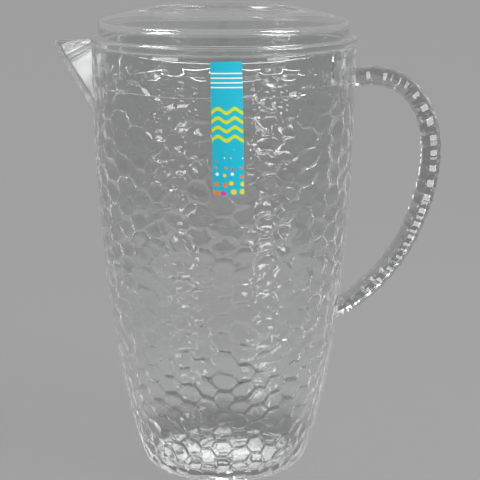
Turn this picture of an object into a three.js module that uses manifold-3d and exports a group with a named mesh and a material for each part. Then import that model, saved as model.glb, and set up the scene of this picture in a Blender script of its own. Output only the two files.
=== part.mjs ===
import * as THREE from 'three';
import { ConvexGeometry } from 'three/addons/geometries/ConvexGeometry.js';
import { mergeVertices } from 'three/addons/utils/BufferGeometryUtils.js';
import Module from 'manifold-3d';

const wasm = await Module();
wasm.setup();

// Clear hammered pitcher with a strainer lid, in millimetres.
// The origin is the centre of the flat foot on the jug's axis and +Z is up.
// The spout points along -X, the handle along +X and the label faces -Y.

// Jug wall
const rimHeight = 239;
const rimRadius = 71.6;
const taperShare = 0.8;
const taperPower = 2.4;
const wall = 2.6;
const floorThickness = 4;
const footInset = 3.6;
const footCorner = 7;
const innerCorner = 9;

// Hammered honeycomb
const columns = 38;
const rows = 22;
const plainRimBand = 4;
const dimpleDepth = 0.65;

// Spout
const spoutLength = 22.1;
const spoutRise = 1.2;
const spoutWidth = 31;
const spoutDrop = 38;
const spoutNose = 1.6;
const spoutWallShift = 4;

// Lid
const flangeOverhang = 0.4;
const flangeThickness = 3.3;
const capHeight = 12.5;
const crownInset = 26.1;
const crownRise = 5.6;
const crownRecess = 3;
const crownRound = 1.3;
const shoulderRound = 2.6;
const flangeFillet = 2;
const edgeRound = 0.6;
const lidWall = 1.9;
const skirtDepth = 21;
const pourWindowWidth = 64;

// Strainer comb in the skirt, angles counted from the front towards the handle
const combStart = 39;
const combPitch = 8.5;
const combSlots = 6;
const combSlotWidth = 3;
const combToothDepth = 18;
const combSlotDrop = 2;

// Handle
const handleThickness = 11.4;
const handleWidth = 15;
const handleBow = 42.7;
const handleDrop = 19.2;
const handleSpan = 129.3;
const handleFacets = 26;
const handleEdges = [22, 60, 102, 133, 160];
const facetHollow = 0.45;

// Label
const labelWidth = 15.7;
const labelLength = 67;
const labelThickness = 0.25;
const labelCorner = 1.2;
const labelOffset = 2.6;
const labelLean = 1;
const labelDrop = 2;

// Clearances
const seatGap = 0.3;
const plugClearance = 0.6;
const bondGap = 0.3;
const reach = 5;

// Round pieces
const roundSegments = 76;
const labelSegments = 180;

const degrees = Math.PI / 180;
const v2 = (r, z) => new THREE.Vector2(r, z);

// Outer radius of the jug at a height
function wallRadius(z) {
  const drop = (taperShare * Math.max(rimHeight - z, 0)) / rimHeight;
  return rimRadius * Math.sqrt(1 - drop ** taperPower);
}

// Sizes that follow from the rim
const footRadius = wallRadius(0) - footInset;
const spoutReach = rimRadius + spoutLength;
const flangeRadius = rimRadius + flangeOverhang;
const plugRadius = wallRadius(rimHeight - skirtDepth) - wall - plugClearance;
const crownRadius = plugRadius - crownInset;

// Point at a radius, an angle from the front towards the handle, and a height
function around(radius, angle, z) {
  return new THREE.Vector3(radius * Math.sin(angle), -radius * Math.cos(angle), z);
}

// Closed solid from a geometry, without triangles that have shrunk to a line
function solid(geometry) {
  const bare = new THREE.BufferGeometry();
  bare.setAttribute('position', geometry.getAttribute('position'));
  bare.setIndex(geometry.getIndex());
  const merged = mergeVertices(bare, 1e-4);
  const index = merged.getIndex().array;
  const kept = [];
  for (let i = 0; i < index.length; i += 3) {
    const [a, b, c] = index.slice(i, i + 3);
    if (a !== b && b !== c && c !== a) kept.push(a, b, c);
  }
  const mesh = new wasm.Mesh({
    numProp: 3,
    vertProperties: new Float32Array(merged.getAttribute('position').array),
    triVerts: new Uint32Array(kept),
  });
  return new wasm.Manifold(mesh);
}

// Drawable geometry from a closed solid
function geometryOf(shape) {
  const mesh = shape.getMesh();
  const geometry = new THREE.BufferGeometry();
  geometry.setAttribute('position', new THREE.BufferAttribute(mesh.vertProperties, 3));
  geometry.setIndex(new THREE.BufferAttribute(mesh.triVerts, 1));
  geometry.computeVertexNormals();
  return geometry;
}

// Solid turned about the jug's axis from an outline of radius and height
function revolve(outline, segments = roundSegments) {
  return solid(new THREE.LatheGeometry(outline, segments).rotateX(Math.PI / 2));
}

// Bar between rings of points, every facet sunk at its middle and both ends closed
function facetedBar(rings, sunk) {
  const size = rings[0].length;
  const points = rings.flat();
  const index = [];

  function fan(corners, depth) {
    const [a, b, c] = corners.map((i) => points[i]);
    const inwards = c.clone().sub(b).cross(a.clone().sub(b)).setLength(-depth);
    const middle = new THREE.Vector3();
    corners.forEach((i) => middle.addScaledVector(points[i], 1 / corners.length));
    points.push(middle.add(inwards));
    corners.forEach((i, at) => index.push(i, corners[(at + 1) % corners.length], points.length - 1));
  }

  for (let ring = 0; ring + 1 < rings.length; ring += 1) {
    for (let i = 0; i < size; i += 1) {
      const a = ring * size + i;
      const b = ring * size + ((i + 1) % size);
      fan([b, a, a + size, b + size], sunk);
    }
  }
  const round = [...rings[0].keys()];
  fan(round, 0);
  fan(round.map((i) => points.indexOf(rings.at(-1)[i])).reverse(), 0);
  return solid(new THREE.BufferGeometry().setFromPoints(points).setIndex(index));
}

// Outer outline of the jug from under the rim band down to the edge of the foot
function wallOutline() {
  const side = [];
  const top = rimHeight - plainRimBand;
  for (let i = 0; i <= 14; i += 1) {
    const z = THREE.MathUtils.lerp(top, footCorner, i / 14);
    side.push(v2(wallRadius(z), z));
  }
  const outline = new THREE.CurvePath();
  outline.add(new THREE.SplineCurve(side));
  outline.add(new THREE.QuadraticBezierCurve(side.at(-1), v2(wallRadius(0), 0), v2(footRadius, 0)));
  return outline;
}

// Solid bounded by the hammered wall: each honeycomb cell is a fan sunk at its middle
function hammeredSolid() {
  const outline = wallOutline();
  const pitch = (2 * Math.PI) / columns;
  const points = [];
  const index = [];
  const known = new Map();

  function corner(third, half) {
    const column = (third + 3 * columns) % (3 * columns);
    const row = THREE.MathUtils.clamp(half, 0, 2 * rows);
    const key = `${column}/${row}`;
    if (!known.has(key)) {
      const at = outline.getPoint(row / (2 * rows));
      known.set(key, points.length);
      points.push(around(at.x, (column / 3) * pitch, at.y));
    }
    return known.get(key);
  }

  function sunkMiddle(column, row) {
    const share = THREE.MathUtils.clamp(row, 0.25, rows - 0.25) / rows;
    const at = outline.getPoint(share);
    const along = outline.getTangent(share);
    const sunk = v2(at.x + along.y * dimpleDepth, at.y - along.x * dimpleDepth);
    points.push(around(sunk.x, column * pitch, sunk.y));
    return points.length - 1;
  }

  for (let column = 0; column < columns; column += 1) {
    const odd = column % 2;
    for (let cell = 0; cell < rows + odd; cell += 1) {
      const half = 2 * cell + 1 - odd;
      const third = 3 * column;
      const hexagon = [
        corner(third + 2, half),
        corner(third + 1, half - 1),
        corner(third - 1, half - 1),
        corner(third - 2, half),
        corner(third - 1, half + 1),
        corner(third + 1, half + 1),
      ];
      const middle = sunkMiddle(column, half / 2);
      hexagon.forEach((a, i) => index.push(a, hexagon[(i + 1) % 6], middle));
    }
  }

  // Plain band up to the rim, then the rim and the foot closed on the axis
  const rim = points.push(around(0, 0, rimHeight)) - 1;
  const foot = points.push(around(0, 0, 0)) - 1;
  const edges = [];
  for (let column = 0; column < columns; column += 1) edges.push(3 * column - 1, 3 * column + 1);
  const raised = edges.map((third) => points.push(around(rimRadius, (third / 3) * pitch, rimHeight)) - 1);
  edges.forEach((third, i) => {
    const next = (i + 1) % edges.length;
    const a = corner(third, 0);
    const b = corner(edges[next], 0);
    index.push(a, b, raised[i], b, raised[next], raised[i], raised[i], raised[next], rim);
    index.push(corner(edges[next], 2 * rows), corner(third, 2 * rows), foot);
  });
  return solid(new THREE.BufferGeometry().setFromPoints(points).setIndex(index));
}

// Smooth inside of the jug, open past the rim
function cavity() {
  const inner = (z) => wallRadius(z) - wall;
  const start = floorThickness + innerCorner;
  const low = new THREE.QuadraticBezierCurve(
    v2(inner(floorThickness) - innerCorner, floorThickness),
    v2(inner(floorThickness), floorThickness),
    v2(inner(start), start),
  );
  const outline = [v2(0, floorThickness), ...low.getPoints(5)];
  for (let i = 1; i <= 10; i += 1) {
    const z = THREE.MathUtils.lerp(start, rimHeight, i / 10);
    outline.push(v2(inner(z), z));
  }
  outline.push(v2(inner(rimHeight), rimHeight + reach), v2(0, rimHeight + reach));
  return revolve(outline);
}

// V-shaped wedge of the spout, moved inwards for its channel and raised past its lip
function spoutWedge(shift, raise) {
  const half = spoutWidth / 2;
  const spread = half / (spoutReach - rimRadius);
  const ridge = (spoutReach - rimRadius) / spoutDrop;
  const buried = reach;
  const points = [];
  const nose = (x, z) => {
    for (let turn = -60; turn <= 60; turn += 30) {
      const dx = spoutNose * (1 - Math.cos(turn * degrees));
      points.push(new THREE.Vector3(shift - x + dx, spoutNose * Math.sin(turn * degrees), z));
    }
  };
  nose(spoutReach, rimHeight + spoutRise);
  nose(spoutReach, rimHeight + spoutRise + raise);
  nose(rimRadius - buried, rimHeight - spoutDrop - buried / ridge);
  for (const side of [-1, 1]) {
    const root = rimRadius - buried;
    const y = side * (half + buried * spread);
    points.push(new THREE.Vector3(shift - root, y, rimHeight));
    points.push(new THREE.Vector3(shift - root, y, rimHeight + raise));
  }
  return solid(new ConvexGeometry(points));
}

// Room that the lid's flange needs above the rim
function flangeRoom() {
  const room = new THREE.CylinderGeometry(flangeRadius + plugClearance, flangeRadius + plugClearance, reach, 96);
  return solid(room.rotateX(Math.PI / 2).translate(0, 0, rimHeight + reach / 2));
}

function jugBody() {
  return hammeredSolid()
    .add(spoutWedge(0, 0))
    .subtract(flangeRoom())
    .subtract(spoutWedge(spoutWallShift, reach))
    .subtract(cavity());
}

// Cap, flange and skirt as one turned shell
function lidShell() {
  const seat = rimHeight + seatGap;
  const flangeTop = seat + flangeThickness;
  const shoulder = seat + capHeight;
  const crown = shoulder + crownRise;
  const recessFloor = crown - crownRecess;
  const skirtFoot = rimHeight - skirtDepth;
  const inside = plugRadius - lidWall;
  const recessRadius = crownRadius - crownRecess;
  const fillet = new THREE.QuadraticBezierCurve(
    v2(plugRadius + flangeFillet, flangeTop),
    v2(plugRadius, flangeTop),
    v2(plugRadius, flangeTop + flangeFillet),
  );
  const round = new THREE.QuadraticBezierCurve(
    v2(plugRadius, shoulder - shoulderRound),
    v2(plugRadius, shoulder),
    v2(plugRadius - shoulderRound, shoulder + edgeRound),
  );
  return revolve([
    v2(0, recessFloor - lidWall),
    v2(recessRadius, recessFloor - lidWall),
    v2(crownRadius, crown - lidWall),
    v2(inside - shoulderRound, shoulder - lidWall + edgeRound),
    v2(inside, shoulder - lidWall - shoulderRound),
    v2(inside, skirtFoot),
    v2(plugRadius, skirtFoot),
    v2(plugRadius, seat),
    v2(flangeRadius - edgeRound, seat),
    v2(flangeRadius, seat + edgeRound),
    v2(flangeRadius, flangeTop - edgeRound),
    v2(flangeRadius - edgeRound, flangeTop),
    ...fillet.getPoints(3),
    ...round.getPoints(4),
    v2(crownRadius + crownRound, crown - edgeRound / 2),
    v2(crownRadius, crown),
    v2(crownRadius - crownRound, crown - edgeRound),
    v2(recessRadius, recessFloor + edgeRound / 2),
    v2(recessRadius - crownRound, recessFloor),
    v2(0, recessFloor),
  ]);
}

// Upright block through the skirt at an angle, from under it up to a height
function skirtCut(angle, width, top) {
  const bottom = rimHeight - skirtDepth - reach;
  const block = new THREE.BoxGeometry(width, 4 * reach, top - bottom);
  block.translate(0, -rimRadius, (top + bottom) / 2);
  return solid(block.rotateZ(angle * degrees));
}

function lid() {
  const windowTop = rimHeight - seatGap;
  const slotTop = rimHeight - combSlotDrop;
  const toothFoot = rimHeight - combToothDepth;
  let shape = lidShell().subtract(skirtCut(-90, pourWindowWidth, windowTop));
  for (let slot = 0; slot < combSlots; slot += 1) {
    const angle = combStart + slot * combPitch;
    shape = shape.subtract(skirtCut(angle, combSlotWidth, slotTop));
    if (slot + 1 < combSlots) {
      const tooth = 2 * rimRadius * Math.sin((combPitch / 2) * degrees);
      shape = shape.subtract(skirtCut(angle + combPitch / 2, tooth, toothFoot));
    }
  }
  return shape;
}

// C-shaped bow from inside the wall under the rim, as shares of its reach and of the span between its roots
function handleBowCurve() {
  return new THREE.CatmullRomCurve3([
    [-0.272, 0.022], [-0.037, 0], [0.267, -0.011], [0.63, 0.029], [0.895, 0.142], [1, 0.292],
    [0.951, 0.474], [0.759, 0.667], [0.492, 0.818], [0.15, 0.938], [-0.131, 1], [-0.412, 1.046],
  ].map(([out, down]) => new THREE.Vector3(
    rimRadius + out * handleBow,
    0,
    rimHeight - handleDrop - down * handleSpan,
  )));
}

// Faceted bar drawn along the bow and cut to the wall at both roots
function handle() {
  const bow = handleBowCurve();
  const across = new THREE.Vector3(0, 1, 0);
  const rings = [];
  for (let ring = 0; ring <= handleFacets; ring += 1) {
    const share = ring / handleFacets;
    const at = bow.getPointAt(share);
    const outwards = new THREE.Vector3().crossVectors(bow.getTangentAt(share), across);
    const turns = [...handleEdges, ...handleEdges.map((turn) => 360 - turn).reverse()];
    rings.push(turns.map((turn) => at.clone()
      .addScaledVector(outwards, (Math.cos(turn * degrees) * handleThickness) / 2)
      .addScaledVector(across, (Math.sin(turn * degrees) * handleWidth) / 2)));
  }
  return facetedBar(rings, facetHollow).subtract(bondedWall());
}

// Jug wall as the handle's roots meet it, with the bond gap
function bondedWall() {
  const outline = [v2(0, 0)];
  for (let i = 0; i <= 16; i += 1) {
    const z = (rimHeight * i) / 16;
    outline.push(v2(wallRadius(z) + bondGap, z));
  }
  outline.push(v2(0, rimHeight));
  return revolve(outline, 2 * roundSegments);
}

// Paper strip that follows the wall
function label() {
  const inside = [];
  const outside = [];
  const top = rimHeight - labelDrop;
  const bottom = top - labelLength;
  for (let i = 0; i <= 10; i += 1) {
    const z = THREE.MathUtils.lerp(bottom - reach, top + 1, i / 10);
    inside.push(v2(wallRadius(z) + bondGap, z));
    outside.push(v2(wallRadius(z) + bondGap + labelThickness, z));
  }
  const sheet = revolve([...outside, ...inside.reverse(), outside[0]], labelSegments);
  const half = labelWidth / 2;
  const tall = labelLength / 2;
  const outline = new THREE.Shape();
  outline.moveTo(half - labelCorner, tall);
  outline.absarc(-half + labelCorner, tall - labelCorner, labelCorner, Math.PI / 2, Math.PI);
  outline.absarc(-half + labelCorner, -tall + labelCorner, labelCorner, Math.PI, 1.5 * Math.PI);
  outline.absarc(half - labelCorner, -tall + labelCorner, labelCorner, 1.5 * Math.PI, 2 * Math.PI);
  outline.absarc(half - labelCorner, tall - labelCorner, labelCorner, 0, Math.PI / 2);
  const prism = new THREE.ExtrudeGeometry(outline, { depth: rimRadius, bevelEnabled: false, curveSegments: 4 });
  prism.rotateX(Math.PI / 2).translate(0, -10, 0).rotateY(-labelLean * degrees);
  prism.translate(labelOffset, 0, top - tall);
  return sheet.intersect(solid(prism));
}

// Materials
const clearPlastic = (name, flatShading) => new THREE.MeshStandardMaterial({
  name,
  flatShading,
  color: 0xe4e8e8,
  roughness: 0.08,
  metalness: 0,
  transparent: true,
  opacity: 0.35,
});
const labelPaper = new THREE.MeshStandardMaterial({
  name: 'label_paper',
  color: 0x16bcd6,
  roughness: 0.55,
  metalness: 0,
});

const group = new THREE.Group();
group.name = 'clear_hammered_pitcher';

function place(name, shape, material) {
  const mesh = new THREE.Mesh(geometryOf(shape), material);
  mesh.name = name;
  group.add(mesh);
}

place('jug_body', jugBody(), clearPlastic('clear_jug', true));
place('handle', handle(), clearPlastic('clear_handle', true));
place('lid', lid(), clearPlastic('clear_lid', false));
place('label', label(), labelPaper);

export default group;
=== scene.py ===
import bisect
import math

import bpy
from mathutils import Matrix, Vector, noise


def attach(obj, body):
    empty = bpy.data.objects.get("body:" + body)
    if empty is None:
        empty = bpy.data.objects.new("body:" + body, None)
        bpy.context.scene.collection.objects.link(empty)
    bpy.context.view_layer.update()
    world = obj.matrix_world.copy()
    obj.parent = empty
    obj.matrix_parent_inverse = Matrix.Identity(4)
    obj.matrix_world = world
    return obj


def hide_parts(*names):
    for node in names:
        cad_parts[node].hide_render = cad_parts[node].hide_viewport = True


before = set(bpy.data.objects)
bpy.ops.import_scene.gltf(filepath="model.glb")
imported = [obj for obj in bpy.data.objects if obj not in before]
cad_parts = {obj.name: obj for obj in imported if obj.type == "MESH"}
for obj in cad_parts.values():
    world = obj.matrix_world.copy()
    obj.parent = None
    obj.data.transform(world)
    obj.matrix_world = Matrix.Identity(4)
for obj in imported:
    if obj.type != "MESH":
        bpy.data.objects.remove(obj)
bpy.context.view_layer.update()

# Clear hammered pitcher with a strainer lid. Lengths here are in millimetres and become metres on the mesh.
# The spout points along -X, the handle along +X, and the label faces -Y.
MM = 0.001

# Jug wall
rim_height = 239.0
rim_radius = 71.6
taper_share = 0.8
taper_power = 2.4
wall = 2.6
floor_thickness = 4.0
foot_inset = 3.6
foot_corner = 7.0
inner_corner = 9.0
rim_lip = 0.8

# Hammered honeycomb
columns = 38
rows = 22
plain_band = 4.0
dimple_depth = 0.65
blow_tilt = 1.9
lining_ease = 0.15
column_step = math.sqrt(3) / 2
rim_steps = (0.04, 0.23)
wide_stray = 0.11
small_stray = 0.07

# Rows over which the dimples and the blows' tilt come in, the lowest rows, which are struck square,
# and how far the tilt reaches round from the front, as a cosine
top_fade = 0.9
foot_fade = 0.4
tilt_fade = 3
square_rows = 4
front_reach = 0.3

# A cell stands no further out of the wall than this, which is less than the bond gap
proud_limit = 0.2

# Spout
spout_length = 22.1
spout_rise = 1.2
spout_width = 31.0
spout_drop = 38.0
spout_nose = 1.6
spout_wall_shift = 4.0
spout_root = 5.0
spout_lip = 0.4
channel_lip = 5

# Lid
flange_overhang = 0.4
flange_thickness = 3.3
cap_height = 12.5
crown_inset = 26.1
crown_rise = 5.6
crown_recess = 3.0
lid_wall = 1.9
skirt_depth = 21.0
pour_window = 64.0
comb_start = 39.0
comb_pitch = 8.5
comb_slots = 6
comb_slot_width = 3.0
comb_slot_drop = 2
comb_tooth_depth = 18.0
skirt_chamfer = 0.4
flange_round = 0.9
cap_lean = 0.35

# Handle
handle_thickness = 11.4
handle_width = 15.0
handle_bow = 42.7
handle_drop = 19.2
handle_span = 129.3
handle_facets = 26
handle_edges = (22, 60, 102, 133, 160)
facet_waist = 0.065
facet_steps = 4

# Label
label_width = 15.7
label_length = 67.0
label_thickness = 0.25
label_corner = 1.2
label_offset = 2.6
label_lean = 1.0
label_drop = 2

# Clearances
seat_gap = 0.3
plug_clearance = 0.6
bond_gap = 0.3


# Helpers for working on one piece at a time

def deselect_everything():
    if bpy.context.object and bpy.context.object.mode != "OBJECT":
        bpy.ops.object.mode_set(mode="OBJECT")
    bpy.ops.object.select_all(action="DESELECT")


def take_up(piece):
    deselect_everything()
    piece.select_set(True)
    bpy.context.view_layer.objects.active = piece


def new_piece(name):
    piece = bpy.context.active_object
    piece.name = name
    piece.data.name = name
    return piece


def in_edit(piece):
    take_up(piece)
    bpy.ops.object.mode_set(mode="EDIT")


def out_of_edit():
    bpy.ops.object.mode_set(mode="OBJECT")


def pick_vertices(piece, wanted):
    """Selects the vertices whose place, in millimetres, is wanted, and stays in edit mode."""
    in_edit(piece)
    bpy.ops.mesh.select_mode(type="VERT")
    bpy.ops.mesh.select_all(action="DESELECT")
    out_of_edit()
    for vertex in piece.data.vertices:
        vertex.select = wanted(vertex.co / MM)
    in_edit(piece)


def close_up(piece, distance=0.00001):
    """Merges what lies together and turns every face outwards."""
    in_edit(piece)
    bpy.ops.mesh.select_all(action="SELECT")
    bpy.ops.mesh.remove_doubles(threshold=distance)
    bpy.ops.mesh.normals_make_consistent(inside=False)
    out_of_edit()


def settle(piece):
    """Moves a piece's place into its mesh."""
    take_up(piece)
    bpy.ops.object.transform_apply(location=True, rotation=True, scale=True)


def join_solid(piece, other, operation):
    """Adds another solid to a piece or cuts it away, and throws the other away."""
    take_up(piece)
    change = piece.modifiers.new(operation.lower(), "BOOLEAN")
    change.operation = operation
    change.solver = "MANIFOLD"
    change.object = other
    bpy.ops.object.modifier_apply(modifier=change.name)
    bpy.data.objects.remove(other, do_unlink=True)


def array_along(piece, count, step):
    take_up(piece)
    row = piece.modifiers.new("row", "ARRAY")
    row.count = count
    row.use_relative_offset = False
    row.use_constant_offset = True
    row.constant_offset_displace = step
    row.use_merge_vertices = True
    row.merge_threshold = 0.001
    bpy.ops.object.modifier_apply(modifier=row.name)


def turned(name, outline, steps):
    """Solid of revolution: a point is drawn along an outline of radius and height, then spun round."""
    deselect_everything()
    bpy.ops.mesh.primitive_plane_add(size=0.001)
    piece = new_piece(name)
    in_edit(piece)
    bpy.ops.mesh.select_mode(type="VERT")
    bpy.ops.mesh.select_all(action="SELECT")
    bpy.ops.mesh.merge(type="CENTER")
    at = Vector((outline[0][0], 0, outline[0][1])) * MM
    bpy.ops.transform.translate(value=at)
    for radius, height in outline[1:]:
        to = Vector((radius, 0, height)) * MM
        bpy.ops.mesh.extrude_region_move(TRANSFORM_OT_translate={"value": to - at})
        at = to
    bpy.ops.mesh.select_all(action="SELECT")
    bpy.ops.mesh.spin(steps=steps, angle=2 * math.pi, center=(0, 0, 0), axis=(0, 0, 1))
    close_up(piece, 0.000002)
    return piece


def curve_points(start, corner, end, count):
    """Points on a curve that leaves start and reaches end along the lines to corner, without start."""
    points = []
    for i in range(1, count + 1):
        t = i / count
        points.append(tuple((1 - t) ** 2 * s + 2 * t * (1 - t) * c + t * t * e
                            for s, c, e in zip(start, corner, end)))
    return points


# Jug wall outline

def wall_radius(z):
    drop = taper_share * max(rim_height - z, 0) / rim_height
    return rim_radius * math.sqrt(1 - drop ** taper_power)


foot_radius = wall_radius(0) - foot_inset
spout_reach = rim_radius + spout_length
flange_radius = rim_radius + flange_overhang
plug_radius = wall_radius(rim_height - skirt_depth) - wall - plug_clearance
crown_radius = plug_radius - crown_inset


def wall_outline(inset, foot, foot_height, corner):
    """Radius and height at a depth in the wall, from the plain rim band round the corner to the foot."""
    top = rim_height - plain_band
    low = foot_height + corner
    side = [(wall_radius(z) - inset, z) for z in (top + (low - top) * i / 240 for i in range(241))]
    corner_tip = (wall_radius(foot_height) - inset, foot_height)
    return side + curve_points(side[-1], corner_tip, (foot, foot_height), 40)


def walk(outline):
    """Gives the radius, height and outward direction at a share of the way down an outline."""
    lengths = [0.0]
    for (r0, z0), (r1, z1) in zip(outline, outline[1:]):
        lengths.append(lengths[-1] + math.hypot(r1 - r0, z1 - z0))

    def at_share(share):
        length = min(max(share, 0), 1) * lengths[-1]
        k = min(max(bisect.bisect_right(lengths, length), 1), len(lengths) - 1)
        (r0, z0), (r1, z1) = outline[k - 1], outline[k]
        span = lengths[k] - lengths[k - 1]
        t = (length - lengths[k - 1]) / span
        return r0 + t * (r1 - r0), z0 + t * (z1 - z0), -(z1 - z0) / span, (r1 - r0) / span

    return at_share


def around(radius, angle, z):
    return Vector((radius * math.sin(angle), -radius * math.cos(angle), z)) * MM


# Hammered wall: one dished cell, repeated into a flat honeycomb, then wrapped on the jug

def honeycomb_sheet(name):
    """Flat sheet of cells, one unit high each; a cell's rim stands at 0 and its flat middle at -1."""
    deselect_everything()
    bpy.ops.mesh.primitive_circle_add(vertices=6, radius=1 / math.sqrt(3), fill_type="NGON",
                                      location=(0, 0.5, 0), rotation=(0, 0, math.pi / 2))
    sheet = new_piece(name)
    settle(sheet)
    in_edit(sheet)
    bpy.ops.mesh.select_mode(type="EDGE")
    bpy.ops.mesh.select_all(action="SELECT")
    bpy.ops.mesh.subdivide(number_cuts=1)
    bpy.ops.mesh.select_mode(type="FACE")
    bpy.ops.mesh.select_all(action="SELECT")
    for step in rim_steps:
        bpy.ops.mesh.inset(thickness=step)
    bpy.ops.mesh.poke()
    out_of_edit()
    for vertex in sheet.data.vertices:
        across, down = vertex.co.x, vertex.co.y - 0.5
        vertex.co.z = 3 * (across ** 2 + down ** 2) - 1
    in_edit(sheet)
    bpy.ops.mesh.select_all(action="SELECT")
    bpy.ops.mesh.duplicate_move(TRANSFORM_OT_translate={"value": (column_step, -0.5, 0)})
    out_of_edit()
    array_along(sheet, columns // 2, (2 * column_step, 0, 0))
    array_along(sheet, rows + 1, (0, 1, 0))
    for edge, way in ((0, -1), (rows, 1)):
        in_edit(sheet)
        bpy.ops.mesh.select_all(action="SELECT")
        bpy.ops.mesh.bisect(plane_co=(0, edge, 0), plane_no=(0, way, 0), clear_outer=True, threshold=0.0001)
        out_of_edit()
    return sheet


def wander(angle, row):
    """How far a cell strays from the even grid, in cells across and down."""
    across = wide_stray * math.sin(5 * angle + 0.9 * row) + small_stray * math.sin(11 * angle - 1.7 * row + 1)
    down = wide_stray * math.sin(7 * angle + 0.7 * row + 2) + small_stray * math.sin(13 * angle + 1.3 * row)
    return across, down


def uneven(x, y):
    """How much deeper a place in the sheet is for the hammer's blow not falling square on its cell."""
    column = round(x / column_step)
    middle = round(y) if column % 2 else math.floor(y) + 0.5
    across, down = x - column * column_step, y - middle
    lean = noise.cell_vector(Vector((column % columns + 0.5, middle + 0.25, 0.5))) - Vector((0.5, 0.5, 0.5))
    from_edge = 0.5 - max(abs(down), 0.5 * abs(down) + column_step * abs(across))
    return (lean.x * across + lean.y * down) * min(max(from_edge / rim_steps[0], 0), 1)


def hammered_cup(name, outline, tilt, ease, plain_rows, rings):
    """Honeycomb wrapped on an outline below its plain rows, drawn up through rings and closed at the ends."""
    cup = honeycomb_sheet(name)
    pitch = 2 * math.pi / columns
    at_share = walk(outline)
    for vertex in cup.data.vertices:
        column, row, dish = vertex.co.x / column_step, vertex.co.y, vertex.co.z
        edge = min(row, rows - row)
        fade = min(max((row - plain_rows) / top_fade, 0), max((rows - row) / foot_fade, 0), 1)
        across, down = wander(column * pitch, row)
        radius, z, out_r, out_z = at_share((row + down * min(edge, 1)) / rows)
        in_front = max(front_reach + math.cos(column * pitch), 0)
        loose = min(max((rows - square_rows - row) / tilt_fade, 0), row / tilt_fade, in_front, 1)
        sunk = dimple_depth * (1 - ease * loose) * dish + tilt * loose * uneven(vertex.co.x, row)
        sunk = min(sunk, proud_limit) * fade * fade * (3 - 2 * fade)
        vertex.co = around(radius + out_r * sunk, (column + across) * pitch, z + out_z * sunk)
    close_up(cup)
    at, foot = outline[0], outline[-1][1]
    pick_vertices(cup, lambda p: p.z > at[1] - 0.01)
    for ring in rings:
        bpy.ops.mesh.extrude_region_move(TRANSFORM_OT_translate={"value": (0, 0, (ring[1] - at[1]) * MM)})
        bpy.ops.transform.resize(value=(ring[0] / at[0], ring[0] / at[0], 1), center_override=(0, 0, 0))
        at = ring
    bpy.ops.mesh.edge_face_add()
    pick_vertices(cup, lambda p: p.z < foot + 0.001)
    bpy.ops.mesh.edge_face_add()
    out_of_edit()
    close_up(cup)
    return cup


def jug_wall():
    """Cup with a rounded rim, joined to the spout, then hollowed to its hammered inside."""
    skin = wall_outline(0, foot_radius, 0, foot_corner)
    brim = [(rim_radius, rim_height - rim_lip)]
    brim += curve_points(brim[0], (rim_radius, rim_height), (rim_radius - rim_lip, rim_height), 3)
    jug = hammered_cup("jug_wall", skin, blow_tilt, 0, 0, brim)
    spout = spout_wedge("spout", 0, spout_lip)
    join_solid(spout, flange_room(), "DIFFERENCE")
    join_solid(jug, spout, "UNION")
    join_solid(jug, spout_wedge("spout_channel", spout_wall_shift, channel_lip), "DIFFERENCE")
    inside = rim_radius - wall
    lining = wall_outline(wall, foot_radius - inner_corner / 2, floor_thickness, inner_corner)
    mouth = [(inside, rim_height - rim_lip)]
    mouth += curve_points(mouth[0], (inside, rim_height), (inside + rim_lip, rim_height), 3)
    mouth.append((inside + rim_lip, rim_height + 4))
    # The inside stays plain as deep as the lid's skirt plugs it
    plugged_rows = rows * skirt_depth / rim_height
    join_solid(jug, hammered_cup("jug_hollow", lining, 0, lining_ease, plugged_rows, mouth), "DIFFERENCE")
    finish_edges(jug, 35)
    return jug


def flange_room():
    """Round block above the rim, which keeps the spout clear of the lid's flange."""
    height = 0.01
    deselect_everything()
    bpy.ops.mesh.primitive_cylinder_add(vertices=144, radius=(flange_radius + plug_clearance) * MM,
                                        depth=height, location=(0, 0, rim_height * MM + height / 2))
    room = new_piece("flange_room")
    settle(room)
    return room


def spout_wedge(name, shift, lip):
    """V-shaped wedge: rounded noses at the tip and at the foot of the ridge, drawn tight over the roots."""
    spread = spout_width / 2 / (spout_reach - rim_radius)
    ridge = (spout_reach - rim_radius) / spout_drop
    root = rim_radius - spout_root
    noses = [(spout_reach, rim_height + spout_rise), (root, rim_height - spout_drop - spout_root / ridge)]
    if shift:
        noses.append((spout_reach, rim_height + spout_rise + lip))
    deselect_everything()
    wedge = None
    for x, z in noses:
        bpy.ops.mesh.primitive_circle_add(vertices=8, radius=spout_nose * MM, fill_type="NGON",
                                          location=((shift - x + spout_nose) * MM, 0, z * MM),
                                          rotation=(0, 0, math.pi / 8))
        if wedge is None:
            wedge = new_piece(name)
            settle(wedge)
            in_edit(wedge)
    low, high = (rim_height, rim_height + lip) if shift else (rim_height - lip, rim_height)
    bpy.ops.mesh.primitive_plane_add(size=1, location=((shift - root) * MM, 0, (low + high) / 2 * MM),
                                     rotation=(0, math.pi / 2, 0))
    width = spout_width + 2 * spout_root * spread
    bpy.ops.transform.resize(value=(1, width * MM, (high - low) * MM),
                             center_override=((shift - root) * MM, 0, (low + high) / 2 * MM))
    bpy.ops.mesh.select_all(action="SELECT")
    bpy.ops.mesh.convex_hull(join_triangles=True)
    out_of_edit()
    close_up(wedge)
    return wedge


def finish_edges(piece, angle):
    take_up(piece)
    bpy.ops.object.shade_smooth_by_angle(angle=math.radians(angle))


# Lid: turned cap with a flange and a skirt, then the pour window and the comb are cut

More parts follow.
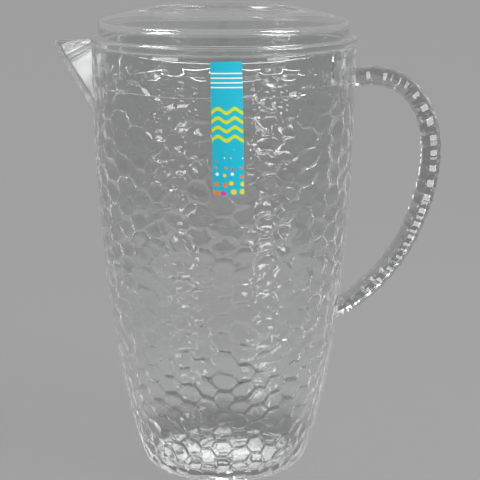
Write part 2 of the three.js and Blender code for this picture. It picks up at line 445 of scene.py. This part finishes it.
def lid_cap():
    """One outline, from the middle of the underside down the skirt, round the flange and over the crown."""
    seat = rim_height + seat_gap
    flange_top = seat + flange_thickness
    shoulder = seat + cap_height
    crown = shoulder + crown_rise
    skirt_foot = rim_height - skirt_depth
    plug = plug_radius
    bore = plug - lid_wall
    floor = crown - crown_recess
    floor_under = floor - lid_wall
    crown_under = crown - lid_wall

    points = [(0, floor_under), (crown_radius - 4.2, floor_under)]

    def bend(corner, end, count):
        points.extend(curve_points(points[-1], corner, end, count))

    bend((crown_radius - 1.4, floor_under), (crown_radius + 0.2, crown_under - 0.4), 5)
    bend((crown_radius + 1.2, crown_under), (crown_radius + 3, crown_under - 0.5), 4)
    points.append((plug - 5, shoulder + 0.8 - lid_wall))
    bend((bore - 0.4, shoulder - lid_wall - 0.1), (bore - cap_lean, shoulder - 4.2), 6)

    points += [(bore, seat), (bore, skirt_foot + skirt_chamfer), (bore + skirt_chamfer, skirt_foot)]
    points += [(plug - skirt_chamfer, skirt_foot), (plug, skirt_foot + skirt_chamfer), (plug, seat)]

    points.append((flange_radius - 0.6, seat))
    bend((flange_radius, seat), (flange_radius, seat + 0.7), 4)
    points.append((flange_radius, flange_top - flange_round))
    bend((flange_radius, flange_top), (flange_radius - flange_round, flange_top), 4)

    points.append((plug + 2, flange_top))
    bend((plug, flange_top), (plug - 0.05, flange_top + 1.9), 6)
    points.append((plug - cap_lean, shoulder - 2.9))
    bend((plug - 0.45, shoulder), (plug - 3.6, shoulder + 0.6), 8)

    points.append((crown_radius + 2.6, crown - 0.5))
    bend((crown_radius + 0.6, crown + 0.1), (crown_radius - 0.8, crown - 0.5), 6)
    points.append((crown_radius - 2.8, floor + 0.5))
    bend((crown_radius - 3, floor), (crown_radius - 3.7, floor), 4)
    points.append((0, floor))
    lid = turned("lid_cap", points, 160)
    cut_skirt(lid, -90, pour_window, rim_height - seat_gap)
    for slot in range(comb_slots):
        angle = comb_start + slot * comb_pitch
        cut_skirt(lid, angle, comb_slot_width, rim_height - comb_slot_drop)
        if slot + 1 < comb_slots:
            tooth = 2 * rim_radius * math.sin(math.radians(comb_pitch / 2))
            cut_skirt(lid, angle + comb_pitch / 2, tooth, rim_height - comb_tooth_depth)
    finish_edges(lid, 28)
    return lid


def cut_skirt(lid, angle, width, top):
    """Takes an upright block out of the skirt, at an angle from the front towards the handle."""
    bottom = rim_height - skirt_depth - 5
    deselect_everything()
    bpy.ops.mesh.primitive_cube_add(size=1)
    block = new_piece("skirt_cut")
    turn = math.radians(angle)
    block.scale = (width * MM, 20 * MM, (top - bottom) * MM)
    block.rotation_euler = (0, 0, turn)
    block.location = around(rim_radius, turn, (top + bottom) / 2)
    settle(block)
    join_solid(lid, block, "DIFFERENCE")


# Handle: a ten-sided ring drawn along the bow, drawn in a little at the middle of every facet

# Knots of the bow as shares of its reach from the rim and of the span between its roots
bow = [(-0.272, 0.022), (-0.037, 0), (0.267, -0.011), (0.63, 0.029), (0.895, 0.142), (1, 0.292),
       (0.951, 0.474), (0.759, 0.667), (0.492, 0.818), (0.15, 0.938), (-0.131, 1), (-0.412, 1.046)]


def bow_places(count):
    """Evenly spaced places and directions along the bow."""
    knots = [Vector((rim_radius + out * handle_bow, 0, rim_height - handle_drop - down * handle_span))
             for out, down in bow]
    knots = [2 * knots[0] - knots[1]] + knots + [2 * knots[-1] - knots[-2]]
    fine = []
    for a, b, c, d in zip(knots, knots[1:], knots[2:], knots[3:]):
        for i in range(24):
            t = i / 24
            fine.append(0.5 * (2 * b + (c - a) * t + (2 * a - 5 * b + 4 * c - d) * t * t
                               + (3 * b - a - 3 * c + d) * t * t * t))
    fine.append(knots[-2])
    run = [0.0]
    for a, b in zip(fine, fine[1:]):
        run.append(run[-1] + (b - a).length)
    places = []
    k = 0
    for i in range(count + 1):
        goal = run[-1] * i / count
        while k + 2 < len(run) and run[k + 1] < goal:
            k += 1
        t = (goal - run[k]) / (run[k + 1] - run[k])
        places.append((fine[k].lerp(fine[k + 1], t), (fine[k + 1] - fine[k]).normalized()))
    return places


def handle_bar():
    """Ten-sided ring drawn along the bow, waisted within every facet and cut to the wall at both roots."""
    places = bow_places(handle_facets * facet_steps)
    deselect_everything()
    bpy.ops.mesh.primitive_circle_add(vertices=2 * len(handle_edges), radius=1, fill_type="NGON")
    bar = new_piece("handle_bar")
    start, along = places[0]
    outwards = along.cross(Vector((0, 1, 0)))
    turns = [*handle_edges, *(360 - turn for turn in reversed(handle_edges))]
    for vertex, turn in zip(bar.data.vertices, turns):
        out = math.cos(math.radians(turn)) * handle_thickness / 2
        aside = math.sin(math.radians(turn)) * handle_width / 2
        vertex.co = (start + outwards * out + Vector((0, aside, 0))) * MM
    in_edit(bar)
    bpy.ops.mesh.select_all(action="SELECT")
    size = 1.0
    for step, ((here, way), (there, next_way)) in enumerate(zip(places, places[1:]), start=1):
        bpy.ops.mesh.extrude_region_move(TRANSFORM_OT_translate={"value": (there - here) * MM})
        turn = math.atan2(next_way.x * way.z - next_way.z * way.x, way.dot(next_way))
        bpy.ops.transform.rotate(value=-turn, orient_axis="Y", center_override=there * MM)
        share = (step % facet_steps) / facet_steps
        wanted = 1 - facet_waist * (1 - (2 * share - 1) ** 2)
        bpy.ops.transform.resize(value=(wanted / size,) * 3, center_override=there * MM)
        size = wanted
    out_of_edit()
    close_up(bar)
    join_solid(bar, bonded_wall(), "DIFFERENCE")
    finish_edges(bar, 10)
    return bar


def bonded_wall():
    """The jug's form with the bond line on it, to cut the handle's roots with."""
    heights = [rim_height * i / 40 for i in range(41)]
    side = [(wall_radius(z) + bond_gap, z) for z in heights]
    return turned("bonded_wall", [(0, 0), *side, (0, rim_height)], 180)


# Label: a rounded strip cut into narrow panels, laid on the wall and given the paper's thickness

def label_strip():
    deselect_everything()
    bpy.ops.mesh.primitive_plane_add(size=1)
    label = new_piece("label_strip")
    label.scale = (label_width, label_length, 1)
    settle(label)
    in_edit(label)
    bpy.ops.mesh.select_all(action="SELECT")
    bpy.ops.mesh.bevel(offset=label_corner, segments=5, affect="VERTICES")
    for count, length, way in ((12, label_width, (1, 0, 0)), (40, label_length, (0, 1, 0))):
        for i in range(1, count):
            bpy.ops.mesh.select_all(action="SELECT")
            at = [(i / count - 0.5) * length * w for w in way]
            bpy.ops.mesh.bisect(plane_co=at, plane_no=way, threshold=0.0001)
    out_of_edit()
    lean = math.radians(label_lean)
    middle = rim_height - label_drop - label_length / 2
    for vertex in label.data.vertices:
        across = vertex.co.x * math.cos(lean) - vertex.co.y * math.sin(lean) + label_offset
        z = middle + vertex.co.y * math.cos(lean) + vertex.co.x * math.sin(lean)
        radius = wall_radius(z) + bond_gap
        vertex.co = around(radius, math.asin(across / radius), z)
    in_edit(label)
    bpy.ops.mesh.select_all(action="SELECT")
    bpy.ops.mesh.normals_make_consistent(inside=False)
    out_of_edit()
    paper = label.modifiers.new("paper", "SOLIDIFY")
    paper.thickness = label_thickness * MM
    paper.offset = 1
    take_up(label)
    bpy.ops.object.modifier_apply(modifier=paper.name)
    finish_edges(label, 30)
    return label


# Finishes

def node(tree, kind, place, **values):
    made = tree.nodes.new(kind)
    made.location = place
    for key, value in values.items():
        setattr(made, key, value)
    return made


def tone_ramp(tree, place, interpolation, stops):
    """Colour ramp with a colour at each place from 0 to 1."""
    ramp = node(tree, "ShaderNodeValToRGB", place)
    ramp.color_ramp.interpolation = interpolation
    for i, (position, colour) in enumerate(stops):
        if i > 1:
            ramp.color_ramp.elements.new(position)
        ramp.color_ramp.elements[i].position = position
        ramp.color_ramp.elements[i].color = colour
    return ramp


def clear_plastic(name, painted_shade_tint, smear):
    """Polished clear plastic with faint handling marks and a slight moulded waviness; its tint greys what
    shows through, a painted shade for the grey that clear plastic takes on from its surroundings.
    """
    finish = bpy.data.materials.new(name)
    finish.use_nodes = True
    tree = finish.node_tree
    shader = tree.nodes["Principled BSDF"]
    shader.inputs["Base Color"].default_value = (*painted_shade_tint, 1)
    shader.inputs["Transmission Weight"].default_value = 1
    shader.inputs["IOR"].default_value = 1.5
    place = node(tree, "ShaderNodeTexCoord", (-900, 0))
    marks = node(tree, "ShaderNodeTexNoise", (-700, 0))
    marks.inputs["Scale"].default_value = 55
    marks.inputs["Detail"].default_value = 4
    tree.links.new(place.outputs["Object"], marks.inputs["Vector"])
    spread = node(tree, "ShaderNodeMapRange", (-450, 0))
    spread.inputs["From Min"].default_value = 0.45
    spread.inputs["From Max"].default_value = 0.75
    spread.inputs["To Min"].default_value = 0.0
    spread.inputs["To Max"].default_value = smear
    tree.links.new(marks.outputs["Fac"], spread.inputs["Value"])
    tree.links.new(spread.outputs["Result"], shader.inputs["Roughness"])
    ripple = node(tree, "ShaderNodeTexNoise", (-700, -300))
    ripple.inputs["Scale"].default_value = 30
    ripple.inputs["Detail"].default_value = 1
    tree.links.new(place.outputs["Object"], ripple.inputs["Vector"])
    bump = node(tree, "ShaderNodeBump", (-300, -300))
    bump.inputs["Strength"].default_value = 0.04
    bump.inputs["Distance"].default_value = 0.0006
    tree.links.new(ripple.outputs["Fac"], bump.inputs["Height"])
    tree.links.new(bump.outputs["Normal"], shader.inputs["Normal"])
    return finish


def reckon(tree, operation, first, second=0.0):
    """One sum on the label's print, from sockets or plain numbers."""
    step = node(tree, "ShaderNodeMath", (-600, 0), operation=operation)
    for socket, value in zip(step.inputs, (first, second)):
        if isinstance(value, (int, float)):
            socket.default_value = value
        else:
            tree.links.new(value, socket)
    return step.outputs[0]


# Inks of the label
turquoise = (0.006, 0.47, 0.63, 1)
pale_turquoise = (0.01, 0.53, 0.69, 1)
lime = (0.62, 0.74, 0.02, 1)
white = (0.9, 0.9, 0.9, 1)
pink = (0.83, 0.04, 0.26, 1)
orange = (0.95, 0.2, 0.02, 1)
amber = (0.95, 0.62, 0.02, 1)
dots_height = 25
dot_size = 0.37


def printed_paper():
    """Turquoise strip with white pinstripes above, lime waves in the middle and loose dots below."""
    finish = bpy.data.materials.new("label_print")
    finish.use_nodes = True
    tree = finish.node_tree
    shader = tree.nodes["Principled BSDF"]
    place = node(tree, "ShaderNodeTexCoord", (-1400, 0))
    parts = node(tree, "ShaderNodeSeparateXYZ", (-1200, 0))
    tree.links.new(place.outputs["Object"], parts.inputs[0])
    across = reckon(tree, "DIVIDE", parts.outputs["X"], MM)
    up = reckon(tree, "DIVIDE", parts.outputs["Z"], MM)
    foot = rim_height - label_drop - label_length

    def bands(height, first, spacing, count, thickness):
        """Level bands from a height above the label's foot, each of a share of the spacing."""
        turn = reckon(tree, "DIVIDE", reckon(tree, "SUBTRACT", height, foot + first), spacing)
        inked = reckon(tree, "LESS_THAN", reckon(tree, "FRACT", turn), thickness)
        below = reckon(tree, "LESS_THAN", turn, count)
        above = reckon(tree, "GREATER_THAN", turn, 0)
        return reckon(tree, "MULTIPLY", inked, reckon(tree, "MULTIPLY", below, above))

    swing = reckon(tree, "MULTIPLY", reckon(tree, "SINE", reckon(tree, "MULTIPLY", across, 0.75)), 1.1)
    waves = bands(reckon(tree, "ADD", up, swing), 28, 4.6, 4, 0.42)
    stripes = bands(up, 54, 2.3, 4, 0.3)

    flat = node(tree, "ShaderNodeCombineXYZ", (-900, -500))
    tree.links.new(across, flat.inputs[0])
    tree.links.new(up, flat.inputs[1])
    scatter = node(tree, "ShaderNodeTexVoronoi", (-700, -500), voronoi_dimensions="2D")
    scatter.inputs["Scale"].default_value = 0.24
    scatter.inputs["Randomness"].default_value = 0.45
    tree.links.new(flat.outputs[0], scatter.inputs["Vector"])
    dwindling = reckon(tree, "MULTIPLY", reckon(tree, "SUBTRACT", foot + dots_height, up),
                       dot_size / dots_height)
    dots = reckon(tree, "LESS_THAN", scatter.outputs["Distance"], dwindling)
    hues = tone_ramp(tree, (-400, -500), "CONSTANT", [(0, pink), (0.3, orange), (0.52, amber), (0.75, white)])
    tree.links.new(scatter.outputs["Color"], hues.inputs["Fac"])

    grain = node(tree, "ShaderNodeTexNoise", (-700, 400))
    grain.inputs["Scale"].default_value = 900
    grain.inputs["Detail"].default_value = 3
    tree.links.new(place.outputs["Object"], grain.inputs["Vector"])
    ink = node(tree, "ShaderNodeMix", (-300, 200), data_type="RGBA")
    ink.inputs[6].default_value = turquoise
    ink.inputs[7].default_value = pale_turquoise
    tree.links.new(grain.outputs["Fac"], ink.inputs[0])
    colour = ink.outputs[2]
    for mask, hue in ((waves, lime), (stripes, white), (dots, hues.outputs["Color"])):
        layer = node(tree, "ShaderNodeMix", (-100, 200), data_type="RGBA")
        tree.links.new(mask, layer.inputs[0])
        tree.links.new(colour, layer.inputs[6])
        if isinstance(hue, tuple):
            layer.inputs[7].default_value = hue
        else:
            tree.links.new(hue, layer.inputs[7])
        colour = layer.outputs[2]
    tree.links.new(colour, shader.inputs["Base Color"])
    sheen = node(tree, "ShaderNodeMapRange", (-300, 500))
    sheen.inputs["To Min"].default_value = 0.38
    sheen.inputs["To Max"].default_value = 0.55
    tree.links.new(grain.outputs["Fac"], sheen.inputs["Value"])
    tree.links.new(sheen.outputs["Result"], shader.inputs["Roughness"])
    tooth = node(tree, "ShaderNodeBump", (-100, -200))
    tooth.inputs["Strength"].default_value = 0.08
    tooth.inputs["Distance"].default_value = 0.00005
    tree.links.new(grain.outputs["Fac"], tooth.inputs["Height"])
    tree.links.new(tooth.outputs["Normal"], shader.inputs["Normal"])
    return finish


def dress(piece, finish):
    piece.data.materials.clear()
    piece.data.materials.append(finish)


jug = jug_wall()
# The jug's grey tint is painted shade: the clear wall's grey comes from the room it shows.
dress(jug, clear_plastic("clear_jug", (0.92, 0.925, 0.925), 0.03))
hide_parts("jug_body")
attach(jug, "jug")

handle = handle_bar()
# The handle's much darker tint is painted shade for the dark tone that the thick clear bar takes on from what
# it refracts; it is the same clear plastic as the jug.
dress(handle, clear_plastic("clear_handle", (0.66, 0.665, 0.665), 0.03))
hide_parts("handle")
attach(handle, "jug")

lid = lid_cap()
dress(lid, clear_plastic("clear_lid", (0.985, 0.99, 0.99), 0.03))
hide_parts("lid")
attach(lid, "lid")

label = label_strip()
dress(label, printed_paper())
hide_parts("label")
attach(label, "jug")


# Stage

def studio():
    """Floor of one grey that keeps the shadow; through the plastic it shows painted tones, a painted shadow
    at the foot and painted rings of light and shade further off; and the room.
    """
    deselect_everything()
    bpy.ops.mesh.primitive_plane_add(size=floor_span, location=(0, 0, -floor_drop))
    floor = new_piece("floor")
    settle(floor)
    finish = bpy.data.materials.new("floor_grey")
    finish.use_nodes = True
    tree = finish.node_tree
    shader = tree.nodes["Principled BSDF"]
    shader.inputs["Base Color"].default_value = (*backdrop, 1)
    shader.inputs["Roughness"].default_value = 0.9
    place = node(tree, "ShaderNodeTexCoord", (-1200, -300))
    distance = node(tree, "ShaderNodeVectorMath", (-1000, -300), operation="LENGTH")
    greys = [(away, (tone, tone, tone, 1)) for away, tone in floor_through]
    # Painted shadow and light: seen through the plastic, the floor glows with tones set by the distance from
    # the foot, darkest at the foot.
    dimming = tone_ramp(tree, (-900, -300), "EASE", greys)
    seen = node(tree, "ShaderNodeLightPath", (-1000, 300))
    level = node(tree, "ShaderNodeMix", (-500, -200), data_type="FLOAT")
    level.inputs[3].default_value = backdrop[0]
    even = node(tree, "ShaderNodeEmission", (-200, -300))
    mirrored = node(tree, "ShaderNodeMix", (-650, -350), data_type="FLOAT")
    mirrored.inputs[2].default_value = floor_mirrored
    either = node(tree, "ShaderNodeMath", (-600, 300), operation="MAXIMUM")
    any_way = node(tree, "ShaderNodeMath", (-400, 300), operation="MAXIMUM")
    share = node(tree, "ShaderNodeMath", (-200, 300), operation="MULTIPLY")
    share.inputs[1].default_value = even_share
    blend = node(tree, "ShaderNodeMixShader", (100, 0))
    tree.links.new(place.outputs["Object"], distance.inputs[0])
    tree.links.new(distance.outputs["Value"], dimming.inputs["Fac"])
    tree.links.new(seen.outputs["Is Camera Ray"], level.inputs[0])
    tree.links.new(seen.outputs["Is Transmission Ray"], mirrored.inputs[0])
    tree.links.new(dimming.outputs["Color"], mirrored.inputs[3])
    tree.links.new(mirrored.outputs[0], level.inputs[2])
    tree.links.new(level.outputs[0], even.inputs["Strength"])
    tree.links.new(seen.outputs["Is Camera Ray"], either.inputs[0])
    tree.links.new(seen.outputs["Is Transmission Ray"], either.inputs[1])
    tree.links.new(either.outputs[0], any_way.inputs[0])
    tree.links.new(seen.outputs["Is Glossy Ray"], any_way.inputs[1])
    tree.links.new(any_way.outputs[0], share.inputs[0])
    tree.links.new(share.outputs[0], blend.inputs[0])
    tree.links.new(shader.outputs[0], blend.inputs[1])
    tree.links.new(even.outputs[0], blend.inputs[2])
    tree.links.new(blend.outputs[0], tree.nodes["Material Output"].inputs["Surface"])
    dress(floor, finish)
    world = bpy.data.worlds.new("studio")
    world.use_nodes = True
    tree = world.node_tree
    way = node(tree, "ShaderNodeTexCoord", (-800, 0))
    parts = node(tree, "ShaderNodeSeparateXYZ", (-600, 0))
    depth = node(tree, "ShaderNodeMapRange", (-400, 0))
    depth.inputs["From Min"].default_value = -0.3
    depth.inputs["From Max"].default_value = 0.5
    depth.inputs["To Min"].default_value = room_front
    depth.inputs["To Max"].default_value = room_behind
    seen = node(tree, "ShaderNodeLightPath", (-400, 300))
    level = node(tree, "ShaderNodeMix", (-200, 0), data_type="FLOAT")
    level.inputs[3].default_value = room_through
    tree.links.new(way.outputs["Generated"], parts.inputs[0])
    tree.links.new(parts.outputs["Y"], depth.inputs["Value"])
    tree.links.new(seen.outputs["Is Transmission Ray"], level.inputs[0])
    tree.links.new(depth.outputs["Result"], level.inputs[2])
    tree.links.new(level.outputs[0], tree.nodes["Background"].inputs["Strength"])
    tree.nodes["Background"].inputs["Color"].default_value = (1, 1, 1, 1)
    bpy.context.scene.world = world


def softbox(name, place, aim, width, height, power, *only):
    """Area lamp aimed at a place, which lights everything or only some pieces."""
    lamp = bpy.data.lights.new(name, "AREA")
    lamp.shape = "RECTANGLE"
    lamp.size = width
    lamp.size_y = height
    lamp.energy = power
    box = bpy.data.objects.new(name, lamp)
    box.location = place
    box.rotation_euler = (Vector(aim) - Vector(place)).to_track_quat("-Z", "Y").to_euler()
    bpy.context.scene.collection.objects.link(box)
    if only:
        lit = bpy.data.collections.new(name + "_lights")
        for piece in only:
            lit.objects.link(piece)
        box.light_linking.receiver_collection = lit


# Tones of floor and room as seen straight, mirrored and through the plastic; places and sizes in metres
backdrop = (0.386, 0.386, 0.386)
floor_span = 40
floor_drop = 0.0004
even_share = 0.85
floor_mirrored = 0.4
room_front = 0.12
room_behind = 0.4
room_through = 0.38

# Distance from the foot's middle and the floor's tone there as seen through the plastic: a painted shadow,
# darkest at the foot, then painted rings of light and shade that grow dimmer further off
floor_through = [(0.05, 0.2), (0.12, 0.46), (0.3, 0.39), (0.42, 0.43),
                 (0.6, 0.29), (0.72, 0.32), (0.9, 0.25), (1, 0.28)]
studio()

jug_middle = (0, 0, 0.2)
lid_middle = (0, 0, 0.24)
softbox("left_softbox", (-0.66, -0.6, 0.3), jug_middle, 0.34, 0.15, 1.55, jug, handle)
softbox("right_softbox", (0.6, -0.6, 0.3), jug_middle, 0.28, 0.14, 0.85, jug, handle)
softbox("lid_left_softbox", (-0.59, -0.07, 1.02), lid_middle, 0.36, 0.36, 9.5, lid)
softbox("lid_right_softbox", (0.51, -0.31, 1.02), lid_middle, 0.22, 0.36, 6, lid)
softbox("spout_softbox", (0.9, -0.45, 0.95), jug_middle, 0.48, 0.48, 10.5)
softbox("label_softbox", (0.3, -1.0, 0.9), jug_middle, 0.6, 0.6, 10.8, label)
softbox("handle_softbox", (0.4, -0.5, 0.1), (0.1, 0, 0.15), 0.18, 0.18, 0.9, handle)
softbox("handle_low_softbox", (0.19, -0.22, 0.02), (0.09, 0, 0.12), 0.08, 0.05, 0.1, handle)
softbox("handle_outer_softbox", (0.58, 0.15, 0.06), (0.1, 0, 0.17), 0.16, 0.2, 0.3, handle)
softbox("handle_high_softbox", (0.19, -0.86, 0.42), (0.09, 0, 0.22), 0.18, 0.18, 0.9, handle)
softbox("rear_softbox", (0, 3.2, 1.38), (0, 0, 0.0), 0.8, 0.75, 7, jug)

camera_tilt = 14.54
eye = bpy.data.cameras.new("camera")
eye.lens = 96.25
eye.sensor_width = 36
camera = bpy.data.objects.new("camera", eye)
camera.location = (0.0088, -0.70, 0.31)
camera.rotation_euler = (math.radians(90 - camera_tilt), 0, 0)
bpy.context.scene.collection.objects.link(camera)
bpy.context.scene.camera = camera
bpy.context.scene.view_settings.view_transform = "Standard"

# Light passes many clear walls and runs along inside them before it gets out
clear_bounces = 160
bpy.context.scene.cycles.max_bounces = clear_bounces
bpy.context.scene.cycles.transmission_bounces = clear_bounces
bpy.context.scene.cycles.glossy_bounces = clear_bounces
